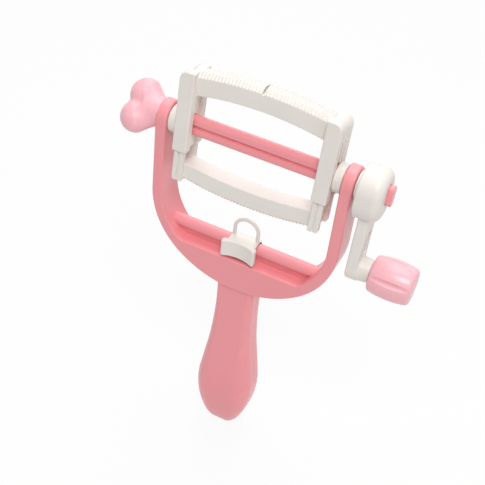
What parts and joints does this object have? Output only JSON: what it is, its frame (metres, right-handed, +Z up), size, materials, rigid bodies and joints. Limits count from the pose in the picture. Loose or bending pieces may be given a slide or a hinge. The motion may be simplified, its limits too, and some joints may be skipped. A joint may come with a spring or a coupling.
{
  "type": "pom pom maker machine",
  "caption": "Hand-cranked pom pom winder: a yoke on a grip carries a two-part winding form on a pull-out shaft with a heart knob, a crank and a sliding yarn guide.",
  "frame": {"origin": "middle of the flat end of the handle", "axes": "+X along the winding axis towards the crank, +Y to the back away from the guide's finger plate, +Z up from the handle's end to the winding form"},
  "size_m": [0.1573, 0.0264, 0.2207],
  "materials": {
    "pink_plastic": "satin moulded pink plastic",
    "white_plastic": "satin moulded cream-white plastic",
    "steel": "plain turned steel"
  },
  "bodies": {
    "yoke_body": {"yoke": "pink_plastic", "guide_rail": "pink_plastic", "handle_front_shell": "pink_plastic", "handle_rear_shell": "pink_plastic", "handle_screws": "steel"},
    "winder": {"right_bush": "white_plastic", "left_bush": "white_plastic", "winding_top": "white_plastic", "crank_hub": "white_plastic", "crank_arm": "white_plastic", "hub_screws": "steel", "shaft_spring": "steel", "knob_pin": "steel"},
    "shaft_body": {"shaft": "pink_plastic", "heart_knob": "pink_plastic", "heart_pin": "steel"},
    "lower_form": {"winding_bottom": "white_plastic"},
    "knob_body": {"crank_knob": "pink_plastic", "knob_cap": "pink_plastic"},
    "guide_body": {"guide_slider": "white_plastic", "guide_eye": "white_plastic"}
  },
  "joints": [
    {"name": "winder_turn", "type": "hinge", "parent": "yoke_body", "child": "winder", "pos_m": [0, 0, 0.189], "axis": [1, 0, 0], "continuous": true},
    {"name": "shaft_pull", "type": "slide", "parent": "winder", "child": "shaft_body", "axis": [-1, 0, 0], "range_m": [0, 0.108]},
    {"name": "lower_form_pull", "type": "slide", "parent": "winder", "child": "lower_form", "axis": [0, -0.1045, -0.9945], "range_m": [0, 0.008]},
    {"name": "knob_spin", "type": "hinge", "parent": "winder", "child": "knob_body", "pos_m": [0.0769, -0.00439, 0.14723], "axis": [1, 0, 0], "continuous": true},
    {"name": "guide_travel", "type": "slide", "parent": "yoke_body", "child": "guide_body", "axis": [1, 0, 0], "range_m": [-0.0255, 0.0255]}
  ]
}
